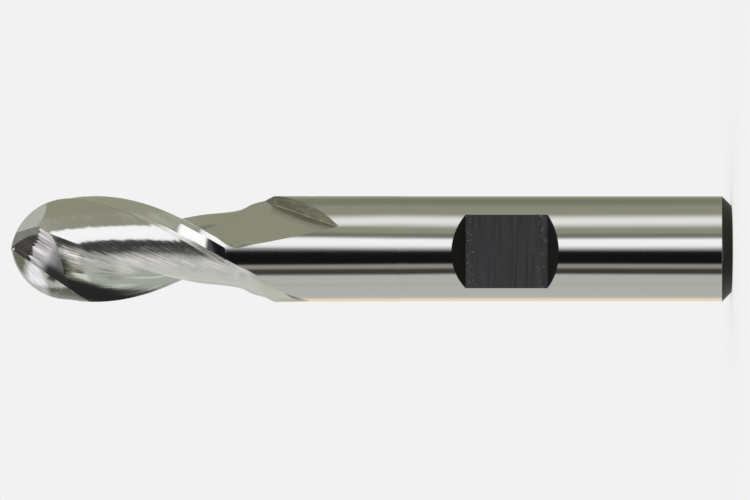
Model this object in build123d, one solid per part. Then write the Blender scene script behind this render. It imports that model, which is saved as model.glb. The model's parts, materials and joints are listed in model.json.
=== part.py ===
from build123d import *
from math import acos, atan2, cos, degrees, radians, sin, sqrt, tan
import os

# Two-flute ball nose end mill, right-hand cut and right-hand helix, ground from
# one bar of high-speed steel. It stands on the end of its shank: the origin is
# the centre of that end face and +Z runs along the axis to the ball tip.
# All lengths are in millimetres and all angles in degrees.

# Bar and shank
overall_length = 65.1
cutter_diameter = 9.56
shank_diameter = 9.525
end_chamfer = 0.85
neck_height = 29.2
neck_length = 1.0

# Clamping flat on the shank, which faces -Y
flat_centre_height = 20.36
flat_length = 7.38
flat_depth = 1.35
flat_upper_wall_run = 1.30
flat_lower_wall_run = 1.00

# Helix: the edge of the first tooth faces the flat at edge_facing_height
helix_lead = 51.5
edge_facing_height = 44.59
flat_lag = 3.7

# Flute cross-section: shares of the cutter radius, and degrees behind the edge
heel_angle = 18.5
crease_angle = 93.0
crease_radius_share = 0.685
crease_heel_normal = 108.0
floor_normal = 138.0
rake_angle = 10.0

# Pull-out of the flute: the floor leaves the helix on a slope and ends at a wall
pull_out_height = 44.75
pull_out_length = 9.2
pull_out_slope = 0.146
pull_out_power = 6
wall_axis_height = 39.65
wall_tilt = 50.4
wall_clocking = 18.4

# Fade-out of the heel face, which follows the helix further up the shank
fade_length = 7.2
fade_normal_angle = 42.0
fade_width_power = 1.2
fade_turn_power = 3

# Land behind each edge
margin_start = 0.6
margin_angle = 6.0
margin_drop = 0.07
land_drop = 0.27
relief_start_height = 59.2
relief_end_height = 45.6
margin_end_extra = 0.5
relief_run = 1.4

# Ball: flat rake face of the nose and the off-centre relief behind its edge
edge_plane_angle = 34.3
web_half_thickness = 0.07
nose_relief_shift = 0.90
nose_relief_flare = 8.5
nose_relief_length = 3.6
gash_tilt = 28.0
gash_turn = 32.6
gash_depth = 0.138
back_facet_tilt = 36.8
back_facet_turn = 50.7
back_facet_height = 1.16

# Construction
section_step = 2.0
exit_step = 1.3
land_step = 1.4
beyond = 1.0
block_size = 40.0
void_reach = 1.4
void_far_reach = 1.9
least_sag = 0.004
fade_lift = 0.03
margin_lead_in = 0.1
land_lead_in = 0.03
land_overrun = 1.4

cutter_radius = cutter_diameter / 2
shank_radius = shank_diameter / 2
ball_centre_height = overall_length - cutter_radius
turn_per_mm = 360 / helix_lead


def at(radius, angle, height=0.0):
    """Point at an angle measured down from the front (-Y), towards -X."""
    turn = radians(angle)
    return Vector(-radius * sin(turn), -radius * cos(turn), height)


def edge_turn(height):
    """Angle of the first tooth's cutting edge at a height."""
    return (edge_facing_height - height) * turn_per_mm


def along(normal_angle, distance, radius, side):
    """Angle where the line at this normal and distance meets a radius."""
    return normal_angle + side * degrees(acos(min(1.0, distance / radius)))


def bulged(start, end, sag, normal_angle):
    """Arc from start to end that rises by sag along the normal."""
    middle = (start + end) / 2 + at(1.0, normal_angle) * sag
    return ThreePointArc(start, middle, end)


def ring(points, arc_at, sag, normal_angle, height):
    """Closed outline of straight edges, with one arc after the point arc_at."""
    edges = []
    for index, point in enumerate(points):
        following = points[(index + 1) % len(points)]
        if index == arc_at:
            edges.append(bulged(point, following, sag, normal_angle))
        else:
            edges.append(Line(point, following))
    return Wire(edges).moved(Location((0, 0, height)))


# Constant part of the cross-section, worked out from the shares above
outer = void_reach * cutter_radius
far = void_far_reach * cutter_radius
heel_point = at(cutter_radius, heel_angle)
crease_point = at(crease_radius_share * cutter_radius, crease_angle)
edge_point = at(cutter_radius, 180)


def normal_angle_of(start, end):
    """Angle of the outward normal of the straight line from start to end."""
    run = end - start
    return degrees(atan2(-run.Y, run.X)) + 180


heel_normal = normal_angle_of(heel_point, crease_point)
heel_bend = crease_heel_normal - heel_normal
heel_sag = (crease_point - heel_point).length / 2 * tan(radians(heel_bend / 2))
crease_offset = crease_angle - heel_normal

# The floor runs straight from the crease and turns up to the edge in an arc
# that is tangent to it and meets the edge at the rake angle
chord_normal = normal_angle_of(crease_point, edge_point)
chord_distance = edge_point.dot(at(1.0, chord_normal))
chord_crease_offset = crease_angle - chord_normal
rake_normal = 90 - rake_angle
rake_turn = floor_normal - rake_normal
floor_distance = crease_point.dot(at(1.0, floor_normal))
rake_rise = edge_point.dot(at(1.0, floor_normal)) - floor_distance
rake_radius = rake_rise / (1 - cos(radians(rake_turn)))
floor_end = edge_point + (at(1.0, rake_normal) - at(1.0, floor_normal)) * rake_radius
rake_sag = -rake_radius * (1 - cos(radians(rake_turn / 2)))
floor_end_along = floor_end.dot(at(1.0, chord_normal + 90))
floor_end_depth = chord_distance - floor_end.dot(at(1.0, chord_normal))
outward_bend = chord_normal - rake_normal


def main_section(height):
    """Void of the main flute: rake face, floor and the space outside them."""
    pulled = max(0.0, pull_out_height - height)
    left = max(0.0, 1 - pulled / pull_out_length) ** pull_out_power
    distance = chord_distance + pull_out_slope * pulled
    normal = chord_normal + edge_turn(max(height, pull_out_height))
    edge = at(cutter_radius, along(normal, distance, cutter_radius, 1))
    crease = at(distance / cos(radians(chord_crease_offset)), normal + chord_crease_offset)
    floor = at(distance - floor_end_depth * left, normal) + at(floor_end_along, normal + 90)
    line_normal = normal_angle_of(crease, floor)
    line_distance = crease.dot(at(1.0, line_normal))
    floor_start = at(outer, along(line_normal, line_distance, outer, -1))
    outward = at(outer - cutter_radius, normal + 90 - outward_bend * left)
    points = [floor, edge, edge + outward, at(far, normal), floor_start]
    return ring(points, 0, rake_sag * left - least_sag, normal_angle_of(floor, edge), height)


def heel_section(height):
    """Void of the heel clearance, which fades out after the main flute."""
    share = min(1.0, max(0.0, (pull_out_height - height) / fade_length))
    left = (1 - share) ** fade_turn_power
    half_width = (heel_normal - heel_angle) * (1 - share) ** fade_width_power
    distance = cutter_radius * cos(radians(half_width)) + fade_lift * share
    normal = fade_normal_angle + (heel_normal - fade_normal_angle) * left + edge_turn(height)
    bend = heel_bend * left
    heel = at(distance / cos(radians(half_width)), normal - half_width)
    crease = at(distance / cos(radians(crease_offset)), normal + crease_offset)
    crease_distance = crease.dot(at(1.0, normal + bend))
    crease_end = at(outer, along(normal + bend, crease_distance, outer, 1))
    outward = at(outer - cutter_radius, normal - bend - 90)
    points = [heel, crease, crease_end, at(far, normal), heel + outward]
    return ring(points, 0, heel_sag * left + least_sag, normal, height)


def eased(depth):
    """Share of the full depth that a wheel has reached, from 0 to 1."""
    share = min(1.0, max(0.0, depth / relief_run))
    return share * share * (3 - 2 * share)


def land_section(height):
    """Sliver ground off behind the edge: a narrow margin, then the land."""
    turn = edge_turn(height) + margin_start
    entered = eased(relief_start_height - height)
    margin_left = eased(height - relief_end_height - margin_end_extra)
    land_left = eased(height - relief_end_height)
    margin = margin_drop * (entered * margin_left - margin_lead_in)
    land = land_drop * (entered * land_left - land_lead_in)
    points = [
        at(cutter_radius + margin_drop, turn - margin_angle),
        at(cutter_radius, turn),
        at(cutter_radius - margin, turn + margin_angle),
        at(cutter_radius - land, turn + heel_angle),
        at(cutter_radius - land * land_overrun, turn + heel_angle + margin_angle),
        at(outer, turn + heel_angle + margin_angle),
        at(outer, turn - margin_angle),
    ]
    return Wire(Polyline(*points, close=True).edges()).moved(Location((0, 0, height)))


def heights(top, bottom, step):
    """Evenly spaced heights from top to bottom, both included."""
    count = max(1, round((top - bottom) / step))
    return [top + (bottom - top) * index / count for index in range(count + 1)]


def half_space(point, normal):
    """Block that fills the side of a plane that its normal points to."""
    plane = Plane(origin=point, z_dir=normal)
    return plane * Box(block_size, block_size, block_size, align=(Align.CENTER, Align.CENTER, Align.MIN))


def quarter(radius, centre_height):
    """Quarter circle in the XZ plane, from its equator up to its pole."""
    slant = radius * sqrt(0.5)
    return ThreePointArc(
        (radius, 0, centre_height), (slant, 0, centre_height + slant), (0, 0, centre_height + radius)
    )


# Blank: shank with its end chamfer, a faint cone up to the cutting part, which
# is ground a few hundredths larger, and the ball, all turned in one profile
with_corner = shank_radius - end_chamfer
neck_top = neck_height + neck_length
blank_outline = [
    Line((0, 0, 0), (with_corner, 0, 0)),
    Line((with_corner, 0, 0), (shank_radius, 0, end_chamfer)),
    Line((shank_radius, 0, end_chamfer), (shank_radius, 0, neck_height)),
    Line((shank_radius, 0, neck_height), (cutter_radius, 0, neck_top)),
    Line((cutter_radius, 0, neck_top), (cutter_radius, 0, ball_centre_height)),
    quarter(cutter_radius, ball_centre_height),
    Line((0, 0, overall_length), (0, 0, 0)),
]
blank = revolve(make_face(Wire(blank_outline)), axis=Axis.Z)

# Clamping flat: a pocket across the shank with sloping end walls
flat_floor_y = -(shank_radius - flat_depth)
flat_bottom = flat_centre_height - flat_length / 2
flat_top = flat_centre_height + flat_length / 2
lower_slope = flat_lower_wall_run / flat_depth
upper_slope = flat_upper_wall_run / flat_depth
outside_y = -(shank_radius + beyond)
rise = flat_depth + beyond
flat_outline = Polyline(
    (0, flat_floor_y, flat_bottom),
    (0, flat_floor_y, flat_top),
    (0, outside_y, flat_top + rise * upper_slope),
    (0, outside_y, flat_bottom - rise * lower_slope),
    close=True,
)
flat_cut = extrude(make_face(flat_outline), amount=shank_diameter, dir=(1, 0, 0), both=True)

# Nose of one tooth: the plane of its flat rake face, which holds the edge
down = Vector(0, 0, -1)
up_front = Vector(1, 0, 0)
tip = Vector(0, 0, overall_length)
rake_plane_normal = down * sin(radians(edge_plane_angle)) + up_front * cos(radians(edge_plane_angle))
rake_plane_point = tip + rake_plane_normal * web_half_thickness
tooth_side = half_space(rake_plane_point, -rake_plane_normal)
open_side = half_space(rake_plane_point, rake_plane_normal)

# Relief of the ball: a larger sphere, off centre, that meets the true ball at
# the edge and falls away behind it, then flares out to the full diameter
ball_centre = Vector(0, 0, ball_centre_height)
edge_depth = (ball_centre - rake_plane_point).dot(rake_plane_normal)
edge_circle_squared = cutter_radius**2 - edge_depth**2
relief_radius = sqrt(edge_circle_squared + (edge_depth + nose_relief_shift) ** 2)
relief_centre = ball_centre + rake_plane_normal * nose_relief_shift
flare_height = nose_relief_length
flare_run = flare_height * tan(radians(nose_relief_flare))
relief_outline = [
    Line((0, 0, -flare_height), (relief_radius + flare_run, 0, -flare_height)),
    Line((relief_radius + flare_run, 0, -flare_height), (relief_radius, 0, 0)),
    quarter(relief_radius, 0),
    Line((0, 0, relief_radius), (0, 0, -flare_height)),
]
relief_bullet = revolve(make_face(Wire(relief_outline)), axis=Axis.Z)
relief_bullet = relief_bullet.moved(Location(relief_centre))
nose_bottom = relief_centre.Z - flare_height
nose_block = Pos(0, 0, nose_bottom) * Cylinder(
    outer, flare_height + cutter_diameter, align=(Align.CENTER, Align.CENTER, Align.MIN)
)
nose_relief = nose_block - relief_bullet


def leaning(tilt, turn):
    """Direction that leans towards the tip by tilt, turned from the front."""
    return Vector(0, 0, sin(radians(tilt))) + at(cos(radians(tilt)), turn)


# Gash: a notch in front of the nose edge, between its rake face and a second
# face that climbs to the flat ground on the back of the other tooth
gash_normal = leaning(gash_tilt, gash_turn)
gash = half_space(tip - gash_normal * gash_depth, gash_normal) & open_side
back_facet_normal = leaning(back_facet_tilt, -back_facet_turn)
back_facet = half_space(tip + back_facet_normal * back_facet_height, back_facet_normal)

# Main flute with its end wall, heel clearance and land relief of one tooth
wall_normal = down * cos(radians(wall_tilt)) + at(1.0, wall_clocking) * sin(radians(wall_tilt))
wall_point = Vector(0, 0, wall_axis_height)
shank_side = half_space(wall_point, wall_normal)

above = overall_length + beyond
main_heights = heights(above, pull_out_height, section_step)
main_heights += heights(pull_out_height, pull_out_height - pull_out_length - beyond, exit_step)[1:]
main_flute = Solid.make_loft([main_section(height) for height in main_heights])
main_flute = main_flute - shank_side - tooth_side

heel_heights = heights(above, pull_out_height, section_step)
heel_heights += heights(pull_out_height, pull_out_height - fade_length, exit_step)[1:]
heel_clearance = Solid.make_loft([heel_section(height) for height in heel_heights])
heel_clearance = heel_clearance - tooth_side

land_heights = heights(relief_start_height, relief_end_height, land_step)
land_relief = Solid.make_loft([land_section(height) for height in land_heights])

# Every cut is made once for each of the two teeth
body = blank - flat_cut
for half_turn in (0, 180):
    around = Rot(0, 0, half_turn + flat_lag)
    for cut in (nose_relief, back_facet, main_flute, heel_clearance, gash, land_relief):
        body = body - around * cut
end_mill = body
end_mill.label = "ball_nose_end_mill"
os.makedirs("parts", exist_ok=True)
export_step(end_mill, "parts/ball_nose_end_mill.step")
print("volume", round(end_mill.volume, 2), "faces", len(end_mill.faces()), "solids", len(end_mill.solids()))
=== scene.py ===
import bpy
import json
from math import cos, pi, radians, sin
from mathutils import Matrix, Vector

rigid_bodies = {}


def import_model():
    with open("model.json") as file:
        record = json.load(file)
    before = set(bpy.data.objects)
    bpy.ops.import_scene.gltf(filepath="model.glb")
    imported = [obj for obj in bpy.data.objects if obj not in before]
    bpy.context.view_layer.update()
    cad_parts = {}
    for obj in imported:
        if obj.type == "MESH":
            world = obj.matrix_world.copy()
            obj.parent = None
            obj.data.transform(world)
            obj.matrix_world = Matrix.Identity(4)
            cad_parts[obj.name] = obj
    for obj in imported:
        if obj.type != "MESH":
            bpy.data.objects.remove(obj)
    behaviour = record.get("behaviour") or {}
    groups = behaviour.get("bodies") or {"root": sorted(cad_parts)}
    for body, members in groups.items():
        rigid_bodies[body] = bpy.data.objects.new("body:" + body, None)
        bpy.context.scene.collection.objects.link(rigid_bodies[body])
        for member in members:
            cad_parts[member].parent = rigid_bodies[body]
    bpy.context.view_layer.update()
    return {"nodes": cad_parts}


for spare in list(bpy.data.objects):
    bpy.data.objects.remove(spare)
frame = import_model()

# The photograph: a long lens level with the middle of the tool, a few degrees
# off square to the clamping flat. The picture is turned so that the tool lies on
# its side with the ball to the left.
PHOTO_WIDTH = 750
METRES_PER_PIXEL = 0.00009037
SHANK_END_COLUMN = 731.4
AXIS_ABOVE_MIDDLE = 1.0
LENS = 500.0
SENSOR = 36.0
NEAREST = 0.01
FARTHEST = 10.0
OFF_SQUARE = radians(3.7)
toward_camera = Vector((sin(OFF_SQUARE), -cos(OFF_SQUARE), 0))
picture_up = Vector((cos(OFF_SQUARE), sin(OFF_SQUARE), 0))
picture_right = Vector((0, 0, -1))
up_the_axis = (SHANK_END_COLUMN - PHOTO_WIDTH / 2) * METRES_PER_PIXEL
aim = Vector((0, 0, up_the_axis)) - picture_up * (AXIS_ABOVE_MIDDLE * METRES_PER_PIXEL)
distance = PHOTO_WIDTH * METRES_PER_PIXEL * LENS / SENSOR
camera_data = bpy.data.cameras.new("camera")
camera_data.lens = LENS
camera_data.sensor_width = SENSOR
camera_data.clip_start = NEAREST
camera_data.clip_end = FARTHEST
camera = bpy.data.objects.new("camera", camera_data)
axes = Matrix((picture_right, picture_up, toward_camera)).transposed()
camera.matrix_world = Matrix.Translation(aim + toward_camera * distance) @ axes.to_4x4()
bpy.context.collection.objects.link(camera)
bpy.context.scene.camera = camera

# Studio: a round pale board under the tool and a plain pale surround. What the
# steel mirrors is a ring of soft panels round the tool, light, olive and dark.
BACKDROP = (0.888, 0.888, 0.888, 1.0)
LIGHTING = (1.21, 1.21, 1.21, 1.0)
OLIVE = (0.40, 0.40, 0.30)
DEGREES = 180 / pi
BOARD_RADIUS = 0.12
BOARD_GREY = (0.8, 0.8, 0.8, 1.0)
BOARD_GLOW = 0.7  # share of plain backdrop in what the camera sees of the board
world = bpy.data.worlds.new("studio")
bpy.context.scene.world = world
world.use_nodes = True
world.node_tree.nodes.clear()


class Value:
    """A number or colour in a shader, used in Python expressions."""

    def __init__(self, tree, source=None):
        self.tree = tree
        self.source = source

    def add(self, kind, inputs, output=0, **settings):
        """Adds any other node to this tree; inputs maps a socket to its value."""
        node = self.tree.nodes.new(kind)
        for name, setting in settings.items():
            setattr(node, name, setting)
        for name, value in inputs.items():
            if isinstance(value, Value):
                value = value.source
            if isinstance(value, bpy.types.NodeSocket):
                self.tree.links.new(value, node.inputs[name])
            else:
                node.inputs[name].default_value = value
        return Value(self.tree, node.outputs[output])

    def output(self, name):
        """Another output of the same node."""
        return Value(self.tree, self.source.node.outputs[name])

    def feed(self, socket):
        """Links this to a socket of a shader."""
        self.tree.links.new(self.source, socket)

    def maths(self, operation, first, second=0.0):
        return self.add("ShaderNodeMath", {0: first, 1: second}, operation=operation)

    def dot(self, vector):
        inputs = {0: self, 1: vector}
        return self.add("ShaderNodeVectorMath", inputs, output="Value", operation="DOT_PRODUCT")

    def __add__(self, other):
        return self.maths("ADD", self, other)

    __radd__ = __add__

    def __sub__(self, other):
        return self.maths("SUBTRACT", self, other)

    def __rsub__(self, other):
        return self.maths("SUBTRACT", other, self)

    def __mul__(self, other):
        return self.maths("MULTIPLY", self, other)

    __rmul__ = __mul__

    def __truediv__(self, other):
        return self.maths("DIVIDE", self, other)

    def __rtruediv__(self, other):
        return self.maths("DIVIDE", other, self)

    def __neg__(self):
        return self.maths("MULTIPLY", self, -1.0)

    def __abs__(self):
        return self.maths("ABSOLUTE", self)

    def above(self, low, high):
        """0 below low and 1 above high, smooth between."""
        ends = {"Value": self, "From Min": low, "From Max": high}
        return self.add("ShaderNodeMapRange", ends, interpolation_type="SMOOTHSTEP")

    def below(self, low, high):
        """1 below low and 0 above high, smooth between."""
        return 1.0 - self.above(low, high)

    def between(self, low, high, soft):
        """1 between low and high, 0 outside, with soft borders."""
        return self.above(low - soft, low + soft) * self.below(high - soft, high + soft)

    def paint(self, colour, share):
        """This colour with another laid over it by a share."""
        # This node has sockets of every kind under one name, so its colours go by number
        ends = {0: share, 6: self, 7: (*colour, 1.0)}
        return self.add("ShaderNodeMix", ends, output=2, data_type="RGBA")


# Each panel: the bearings in degrees that it lies between, 0 towards the camera and
# positive towards the top of the picture; the heights that it lies between, positive
# up the axis; how soft its ends and its borders are; how far it leans sideways for
# each degree of height; and its colour. Later panels hide earlier ones. The words
# after each say where the steel shows it, seen from the photograph's side.
PANELS = [
    (-190, -56, -91, 91, 6, 6, 0, (0.60, 0.62, 0.56)),  # pale, on the ball's lower side
    (-190, -56, -91, -8, 6, 3, 0, (0.56, 0.60, 0.54)),  # grey, low in the flutes
    (-91, 38, -91, -20, 20, 4, 1.5, (0.030, 0.030, 0.030)),  # dark lower edge behind the gash
    (-125, -50, -91, -48, 12, 9, 0, (0.13, 0.135, 0.12)),  # faint, on the shank's end chamfer
    (113, 150, -3, 1.3, 8, 0.8, 0, (0.27, 0.28, 0.22)),  # shade along the shank's top
    (30, 64, 9, 15.4, 8, 1, 0, (0.52, 0.52, 0.44)),  # lighter olive, high on the cutting part
    (53, 76.5, -9, 6, 10, 2, 0, (1.20, 1.20, 1.17)),  # upper light band of the shank
    (27, 34, -9, 9, 3, 3, 0, (0.24, 0.24, 0.22)),  # dark line over the white band
    (-34.5, 14, -14, 60, 2.5, 4, 0, (0.008, 0.008, 0.010)),  # black band in the middle
    (1.5, 18, -9, 8, 9, 2, 0, (1.42, 1.42, 1.46)),  # white band, its soft lower border
    (12, 22.2, -9, 8, 3.5, 2, 0, (1.42, 1.42, 1.46)),  # white band, its crisp upper part
    (-41.5, -34.0, -14, 7, 3, 3, 0, (0.41, 0.385, 0.365)),  # grey line under the black band
    (-58.3, -43.5, -5.5, 3.5, 3.5, 1.5, 0, (0.06, 0.055, 0.055)),  # dark line under that
    (-138, -59, -3, 20, 5, 3, 0, (0.68, 0.68, 0.65)),  # lower light band of the shank
    (-145, -137, -11, 20, 5, 3, 0, (0.80, 0.81, 0.77)),  # lighter lower edge of that band
    (-150, -100, 4.5, 14, 6, 1, 0, (0.80, 0.81, 0.76)),  # light low in the flutes
    (-80, -37, 9, 18, 2.5, 1, 7, (0.98, 0.95, 0.95)),  # brighter light above it
    (-59.8, -30, 9, 20, 0.8, 2, 0, (0.64, 0.64, 0.62)),  # greyer strip above that
    (-47, 8, 8.5, 19, 7, 2, 0, (0.075, 0.07, 0.07)),  # black band along the cutting part
    (-10.5, 26, 8, 40, 1.5, 2, 0, (1.46, 1.46, 1.48)),  # white above it, and in the gash
    (-90, -80, -8, 8, 4, 2, 0, (0.63, 0.64, 0.58)),  # faint line in the lower light band
    (-190, -137, -4, 1.1, 5, 0.6, 0, (1.08, 0.95, 0.68)),  # warm line along the bottom
    (-97, -48, 19.8, 31, 4, 1.6, 0, (0.06, 0.06, 0.06)),  # dark in the gash
    (-110, -50, 62, 91, 4, 2, 0, (0.09, 0.092, 0.065)),  # hardly seen from this side
    (-190, -138, 24, 80, 5, 4, 0.9, (0.22, 0.23, 0.17)),  # dark end of the nose
    (-138, -94, 25, 58, 7, 5, 1.1, (1.2, 1.2, 1.25)),  # white on the ball's lower side
    (122, 140, 34, 44, 4, 3, 0, (0.66, 0.68, 0.62)),  # pale on the ball's upper side
]
studio = Value(world.node_tree)
direction = studio.add("ShaderNodeTexCoord", {})
turned = studio.add(
    "ShaderNodeVectorRotate", {"Vector": direction, "Angle": -OFF_SQUARE}, rotation_type="Z_AXIS"
)
across = studio.add("ShaderNodeSeparateXYZ", {"Vector": turned})
bearing = studio.maths("ARCTAN2", across, -across.output("Y")) * DEGREES
height = studio.maths("ARCSINE", across.output("Z")) * DEGREES
mirrored = studio.add("ShaderNodeRGB", {})
mirrored.source.default_value = (*OLIVE, 1.0)
for low, high, bottom, top, soft_ends, soft_borders, lean, colour in PANELS:
    upright = bearing - (height - (bottom + top) / 2) * lean
    share = upright.between(low, high, soft_ends) * height.between(bottom, top, soft_borders)
    mirrored = mirrored.paint(colour, share)
path = studio.add("ShaderNodeLightPath", {})
backdrop = studio.add("ShaderNodeBackground", {"Color": BACKDROP})
lighting = studio.add("ShaderNodeBackground", {"Color": LIGHTING})
panels = studio.add("ShaderNodeBackground", {"Color": mirrored})
unseen = studio.add(
    "ShaderNodeMixShader", {0: path.output("Is Diffuse Ray"), 1: panels, 2: lighting}
)
surround = studio.add(
    "ShaderNodeMixShader", {0: path.output("Is Camera Ray"), 1: unseen, 2: backdrop}
)
surround.feed(world.node_tree.nodes.new("ShaderNodeOutputWorld").inputs["Surface"])

# The board keeps a faint shadow of the tool, and isn't mirrored in the steel
bpy.ops.mesh.primitive_circle_add(vertices=128, radius=BOARD_RADIUS, fill_type="NGON")
floor = bpy.context.object
floor.name = "floor"
board = bpy.data.materials.new("pale_board")
board.use_nodes = True
board_shader = board.node_tree.nodes["Principled BSDF"]
board_shader.inputs["Base Color"].default_value = BOARD_GREY
board_shader.inputs["Roughness"].default_value = 1.0
board_shader.inputs["Specular IOR Level"].default_value = 0.0
board_face = Value(board.node_tree)
glow = board_face.add("ShaderNodeEmission", {"Color": BACKDROP})
share = board_face.add("ShaderNodeLightPath", {}).output("Is Camera Ray") * BOARD_GLOW
paled = board_face.add("ShaderNodeMixShader", {0: share, 1: board_shader.outputs[0], 2: glow})
paled.feed(board.node_tree.nodes["Material Output"].inputs["Surface"])
floor.data.materials.append(board)
floor.visible_glossy = False

# The end mill: one piece of high-speed steel, ground bright all over, with the
# clamping flat and the shank's end left black from hardening. Shank, flutes,
# gash and ball each keep the fine lines of the wheel that ground them.
# Places on the tool are in millimetres from the centre of the shank's end.
MILLIMETRES = 1000.0
MICROMETRE = 0.000001
BALL_CENTRE = 60.32
LEAD = 51.5
EDGE_TO_CAMERA = 44.59  # where along the tool a cutting edge faces the camera
CUTTING_START = (35.0, 35.4)
SHANK_RADIUS = (4.742, 4.752)
steel = bpy.data.materials.new("ground_steel")
steel.use_nodes = True
shader = steel.node_tree.nodes["Principled BSDF"]
skin = Value(steel.node_tree)
facing = skin.add("ShaderNodeTexCoord", {}, output="Normal")
place = skin.add(
    "ShaderNodeVectorMath",
    {0: facing.output("Object"), "Scale": MILLIMETRES},
    operation="SCALE",
)
x = place.dot((1, 0, 0))
y = place.dot((0, 1, 0))
z = place.dot((0, 0, 1))
radius = skin.maths("SQRT", x * x + y * y)
facing_up_axis = facing.dot((0, 0, 1))

# Cutting edges, flutes and gashes come again after half a turn, so a place on the
# far side is read as its fellow on the near side
side = skin.maths("SIGN", facing.dot(toward_camera))
near_front = side * place.dot(toward_camera)
near_up = side * place.dot(picture_up)
turned_up = side * facing.dot(picture_up)


def pointing(front, up, axis):
    """The direction that goes so far to the camera, to the picture's top and up the axis."""
    return toward_camera * front + picture_up * up + Vector((0, 0, axis))


def measured(front, up, axis):
    """How far a place lies along such a direction."""
    return front * near_front + up * near_up + axis * z


def facing_either(way):
    """How squarely a face looks one way, or the same way after half a turn."""
    half_turned = Vector((-way.x, -way.y, way.z))
    return skin.maths("MAXIMUM", facing.dot(way), facing.dot(half_turned))


# Shank: the plain round part, known by how squarely it faces away from the axis
outward = facing.dot((1, 0, 0)) * x + facing.dot((0, 1, 0)) * y
radial = outward / radius
plain_round = radial.above(0.9985, 0.9995) * radius.above(*SHANK_RADIUS)

# Lands: a strip behind each cutting edge, followed round the helix by turning each
# place back by the twist; past_edge is the sine of its angle behind the edge
LAND = (-0.03, 0.41)
HEEL_STRIP = (0.335, 0.42)
HEEL_LINE = (0.386, 0.428)
LAND_START = 44.0
HEEL_STRIP_REACH = (44.2, 52.0)
HEEL_LINE_REACH = (53.7, 56.6)
twist = (EDGE_TO_CAMERA - z) * (2 * pi / LEAD)
helical = skin.add(
    "ShaderNodeVectorRotate", {"Vector": place, "Angle": twist}, rotation_type="Z_AXIS"
)
edge_side = skin.maths("SIGN", helical.dot(toward_camera))
past_edge = -edge_side * helical.dot(picture_up) / radius
on_land = radial.above(0.88, 0.92) * radius.above(4.2, 4.3)
on_land = on_land * past_edge.between(*LAND, 0.01) * z.above(LAND_START, LAND_START + 0.3)
on_rim = radius.above(4.1, 4.2)
heel_highlight_strip = past_edge.between(*HEEL_STRIP, 0.01) * on_rim * z.between(*HEEL_STRIP_REACH, 0.8)
heel_shade_line = past_edge.between(*HEEL_LINE, 0.008) * on_rim * z.between(*HEEL_LINE_REACH, 0.5)
in_flute = z.above(*CUTTING_START) * (1.0 - plain_round) * (1.0 - on_land)

# Nose: the relief ground behind each edge of the ball, where it looks down
NOSE_START = (57.6, 57.9)
above_ball = z - BALL_CENTRE
from_ball = skin.maths("SQRT", x * x + y * y + above_ball * above_ball)
out_of_ball = (outward + facing_up_axis * above_ball) / from_ball
on_ball = out_of_ball.above(0.84, 0.87) * z.above(*NOSE_START) * from_ball.above(3.5, 3.7)
on_ball = on_ball * turned_up.below(-0.25, -0.20)

# Gash: the flat that a wheel cut into each side of the nose
GASH_NORMAL = (0.743, -0.476, 0.470)
GASH_ACROSS = (0.675, 0.689, -0.264)
GASH_ALONG = (0.244, -0.546, -0.801)
GASH_LEVEL = (30.8, 31.2)
on_gash = facing_either(pointing(*GASH_NORMAL)).above(0.994, 0.998)
on_gash = on_gash * measured(*GASH_NORMAL).below(*GASH_LEVEL)
gash_across = measured(*GASH_ACROSS)
gash_along = measured(*GASH_ALONG)
not_gash_or_ball = (1.0 - on_gash) * (1.0 - on_ball)

# Lines left by the wheels: noise that changes quickly across the lines and is drawn
# out along them, so that it changes there by only a small share
FLUTE_DRAWN_OUT = 0.06
GASH_DRAWN_OUT = 0.05
BALL_DRAWN_OUT = 0.05
BALL_FRONT = 0.3
BALL_SLANT_COSINE = 0.73
BALL_SLANT_SINE = 0.68
RING_DRAWN_OUT = 0.25
RINGS_CLOSE = 9.0


def vector(along_x, along_y, along_z):
    return skin.add("ShaderNodeCombineXYZ", {0: along_x, 1: along_y, 2: along_z})


def wheel_lines(where, scale, detail, roughness):
    settings = {"Vector": where, "Scale": scale, "Detail": detail, "Roughness": roughness}
    return skin.add("ShaderNodeTexNoise", settings)


squashed = skin.add(
    "ShaderNodeVectorMath", {0: helical, 1: (1, 1, FLUTE_DRAWN_OUT)}, operation="MULTIPLY"
)
flute_lines = wheel_lines(squashed, 4.5, 3.0, 0.5)
rings = vector(x * RING_DRAWN_OUT, y * RING_DRAWN_OUT, z * RINGS_CLOSE)
shank_lines = wheel_lines(rings, 1.0, 4.0, 0.6)
gash_place = vector(gash_across, gash_along * GASH_DRAWN_OUT, 0.0)
gash_lines = wheel_lines(gash_place, 5.0, 4.0, 0.6)
from_middle = abs(place.dot(picture_up))
ball_across = -BALL_SLANT_COSINE * z - BALL_SLANT_SINE * from_middle
ball_along = BALL_SLANT_SINE * z - BALL_SLANT_COSINE * from_middle
ball_front = place.dot(toward_camera) * BALL_FRONT
ball_lines = wheel_lines(vector(ball_across, ball_along * BALL_DRAWN_OUT, ball_front), 4.0, 4.0, 0.6)

# Heights of the lines in micrometres; the faces of a flute that look down have deeper ones
SHANK_DEPTH = 2.2
FLUTE_DEPTH = 4.0
DEEPER = 12.0
GASH_DEPTH = 3.0
BALL_DEPTH = 10.0
flute_depth = FLUTE_DEPTH + DEEPER * turned_up.below(-0.35, -0.05)
grooves = shank_lines * SHANK_DEPTH * (1.0 - in_flute)
grooves = grooves + flute_lines * flute_depth * in_flute * not_gash_or_ball
grooves = grooves + gash_lines * GASH_DEPTH * on_gash + ball_lines * BALL_DEPTH * on_ball

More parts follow.
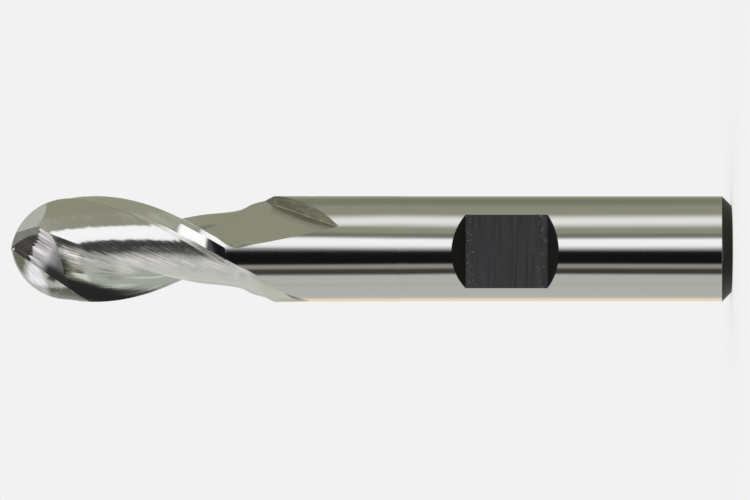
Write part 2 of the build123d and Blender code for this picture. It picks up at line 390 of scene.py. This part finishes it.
# The photograph shows the gash bright from a ragged border on towards the shank, as if
# its face leant 41 degrees towards the camera there. Only the shading leans: the solid's
# face stays flat, so from other sides its reflections aren't those of its shape
GASH_MIDDLE = -49.2
RAGGED = 1.6
LEANING_OUT = (0.237, 0.593, -0.295)
along_gash = gash_along - GASH_MIDDLE + RAGGED * (gash_lines - 0.5)
leaning = along_gash.above(-1.25, -0.85) * on_gash
lean_out = pointing(*LEANING_OUT)
lean = vector(side * lean_out.x, side * lean_out.y, lean_out.z)
lean = skin.add("ShaderNodeVectorMath", {0: lean, "Scale": leaning}, operation="SCALE")
leant = skin.add("ShaderNodeVectorMath", {0: facing, 1: lean}, operation="ADD")
leant = skin.add(
    "ShaderNodeVectorTransform",
    {0: leant},
    vector_type="NORMAL",
    convert_from="OBJECT",
    convert_to="WORLD",
)
relief = {"Strength": 1.0, "Distance": MICROMETRE, "Height": grooves, "Normal": leant}
skin.add("ShaderNodeBump", relief).feed(shader.inputs["Normal"])


def streaked(under, streaks, light, dark):
    """Lighter and darker lines, each given by its colour, how far the line has to
    stand out to be full, and how much of it is laid on."""
    light_colour, light_reach, light_share = light
    dark_colour, dark_reach, dark_share = dark
    under = under.paint(light_colour, streaks.above(0.0, light_reach) * light_share)
    return under.paint(dark_colour, (-streaks).above(0.0, dark_reach) * dark_share)


# Bright steel, a little lighter on the lands
colour = skin.add("ShaderNodeRGB", {})
colour.source.default_value = (0.62, 0.62, 0.61, 1.0)
colour = colour.paint((0.68, 0.69, 0.67), on_land * (1.0 - plain_round))

# Flutes: strong streaks on the faces that look a little down, and faint dark ones on
# those that look well down
on_wall = turned_up.between(-0.64, -0.16, 0.06) * in_flute * not_gash_or_ball
light = ((0.95, 0.92, 0.93), 0.2, 0.8)
dark = ((0.25, 0.24, 0.24), 0.25, 0.55)
colour = streaked(colour, (flute_lines - 0.5) * on_wall, light, dark)
on_floor = in_flute * turned_up.below(-0.70, -0.58) * (1.0 - on_ball)
floor_streaks = (flute_lines - 0.5) * on_floor
colour = colour.paint((0.40, 0.41, 0.38), (-floor_streaks).above(0.0, 0.25) * 0.25)

# Flutes near the ball: grey lines, a painted highlight on the faces that look straight down, and a
# painted highlight along the edge beside the gash
FLUTE_TURN_REACH = (54.6, 58.4)
flute_turn = in_flute * turned_up.between(-0.92, -0.74, 0.05) * z.between(*FLUTE_TURN_REACH, 1.5)
colour = colour.paint((0.36, 0.37, 0.35), flute_turn * flute_lines.above(0.40, 0.60) * 0.8)
flute_floor_highlight = in_flute * (1.0 - on_ball) * z.above(48.5, 52.0) * z.below(53.2, 57.0)
colour = colour.paint((0.94, 0.95, 0.92), flute_floor_highlight * turned_up.below(-0.93, -0.82))
highlight_by_gash = in_flute * not_gash_or_ball * z.above(57.6, 58.4)
highlight_by_gash = highlight_by_gash * turned_up.between(-0.62, -0.44, 0.04) * facing_up_axis.below(0.10, 0.16)
colour = colour.paint((0.97, 0.96, 0.95), highlight_by_gash)

# Where the flutes run out: a painted olive reflection on the heel's side, and painted shade along
# the lower edge
HEEL_EXIT_REACH = (35.0, 42.6)
LOW_EXIT_START = 38.0
LOW_EXIT_SLOPE = 0.3
olive_reflection_at_exit = in_flute * z.between(*HEEL_EXIT_REACH, 0.8) * turned_up.below(-0.5, -0.3)
colour = colour.paint((0.56, 0.56, 0.49), olive_reflection_at_exit)
shaded_low_exit = plain_round * z.above(LOW_EXIT_START - 0.2, LOW_EXIT_START) * z.below(42.5, 43.0)
shaded_low_exit = shaded_low_exit * (LOW_EXIT_SLOPE * (z - LOW_EXIT_START) - near_up).above(4.68, 4.78)
colour = colour.paint((0.22, 0.23, 0.23), shaded_low_exit)

# Gash: painted shade gives it a darker base colour, streaked most where it leans, painted darker
# still towards the shank and near black in its low corner
colour = colour.paint((0.31, 0.30, 0.30), on_gash)
light = ((0.60, 0.58, 0.59), 0.2, 0.35 + 0.65 * leaning)
dark = ((0.12, 0.115, 0.115), 0.2, 0.5 + 0.5 * leaning)
colour = streaked(colour, (gash_lines - 0.5) * on_gash, light, dark)
colour = colour.paint((0.18, 0.175, 0.17), on_gash * along_gash.above(0.5, 1.1))
colour = colour.paint((0.095, 0.095, 0.10), on_gash * along_gash.above(1.1, 1.7))
shaded_gash_corner = gash_across.below(-16.9, -15.9) * along_gash.above(-0.1, 1.1)
colour = colour.paint((0.02, 0.02, 0.02), on_gash * shaded_gash_corner)

# Nose: painted shade low down, with slanting streaks
shaded_low_nose = (-near_up + 0.8 * (ball_lines - 0.5)).above(3.30, 3.60) * z.below(61.3, 62.1)
colour = colour.paint((0.10, 0.10, 0.08), on_ball * shaded_low_nose)
light = ((0.85, 0.87, 0.90), 0.25, 0.6)
dark = ((0.35, 0.36, 0.34), 0.25, 0.6)
colour = streaked(colour, (ball_lines - 0.5) * on_ball, light, dark)

# Heels of the lands: a painted highlight along a strip, and a painted shade line nearer the ball
colour = colour.paint((0.9, 0.89, 0.87), heel_highlight_strip)
colour = colour.paint((0.17, 0.17, 0.15), heel_shade_line)

# Where the flute runs out, painted shade darkens the flank towards a ridge with a painted highlight
FLANK = Vector((0.851, -0.503, 0.152))
FLANK_REACH = (35.0, 41.5)
RIDGE_ACROSS = (-0.1925, -0.7436, 0)
RIDGE_RISE = 0.6403
RIDGE_PLACE = 25.40
on_flank = facing_either(FLANK).above(0.985, 0.995) * z.between(*FLANK_REACH, 0.3)
from_ridge = side * place.dot(RIDGE_ACROSS) + RIDGE_RISE * z - RIDGE_PLACE
colour = colour.paint((0.36, 0.36, 0.35), on_flank * from_ridge.below(0.0, 1.6))
colour = colour.paint((0.85, 0.85, 0.84), on_flank * from_ridge.below(0.06, 0.16))

# Black skin on the clamping flat and its two end walls and on the shank's end, with
# the cutter's lines across the flat and paler specks rubbed towards both its ends
FLAT_ENDS = (15.45, 25.6)
FLAT_MIDDLE = 20.36
BLACK_END = (0.80, 0.87)
BLACK_END_CURVE = 0.035
MILL_DRAWN_OUT = 0.12
MILL_CLOSE = 4.5
flat = z.between(*FLAT_ENDS, 0.02) * y.below(-3.2, -3.0) * (1.0 - plain_round)
shank_end = (z - BLACK_END_CURVE * abs(near_front)).below(*BLACK_END)
black = skin.maths("MAXIMUM", flat, shank_end)
wall = black * abs(facing.dot((0, 1, 0))).below(0.97, 0.995)
mill_lines = wheel_lines(vector(x * MILL_DRAWN_OUT, 0.0, z * MILL_CLOSE), 1.0, 5.0, 0.65)
rubbed = abs(z - FLAT_MIDDLE).above(2.2, 3.3) * black * (1.0 - wall)
specks = wheel_lines(place, 5.5, 2.0, 0.5).above(0.62, 0.70) * rubbed
flat_floor = flat * (1.0 - wall)
colour = colour.paint((0.024, 0.021, 0.026), black)
colour = colour.paint((0.034, 0.031, 0.038), flat_floor * mill_lines.above(0.45, 0.75))
colour = colour.paint((0.010, 0.009, 0.010), flat_floor * mill_lines.below(0.30, 0.52))
# Painted shade: the flat's end walls, the shank's end and its chamfer are painted darker than the
# flat
colour = colour.paint((0.006, 0.006, 0.006), wall)
colour = colour.paint((0.12, 0.115, 0.12), specks)
colour.feed(shader.inputs["Base Color"])

# Bare steel is a metal and the black skin isn't; flutes, heels and skin are rougher
BRIGHT = 0.10
FLUTE_ROUGHER = 0.02
HEEL_ROUGHER = 0.3
BLACK_ROUGHER = 0.35
(1.0 - black).feed(shader.inputs["Metallic"])
rough = BRIGHT + FLUTE_ROUGHER * in_flute + HEEL_ROUGHER * heel_highlight_strip + BLACK_ROUGHER * black
rough.feed(shader.inputs["Roughness"])
for node in frame["nodes"].values():
    for slot in node.material_slots:
        slot.material = steel

bpy.context.scene.view_settings.view_transform = "Standard"
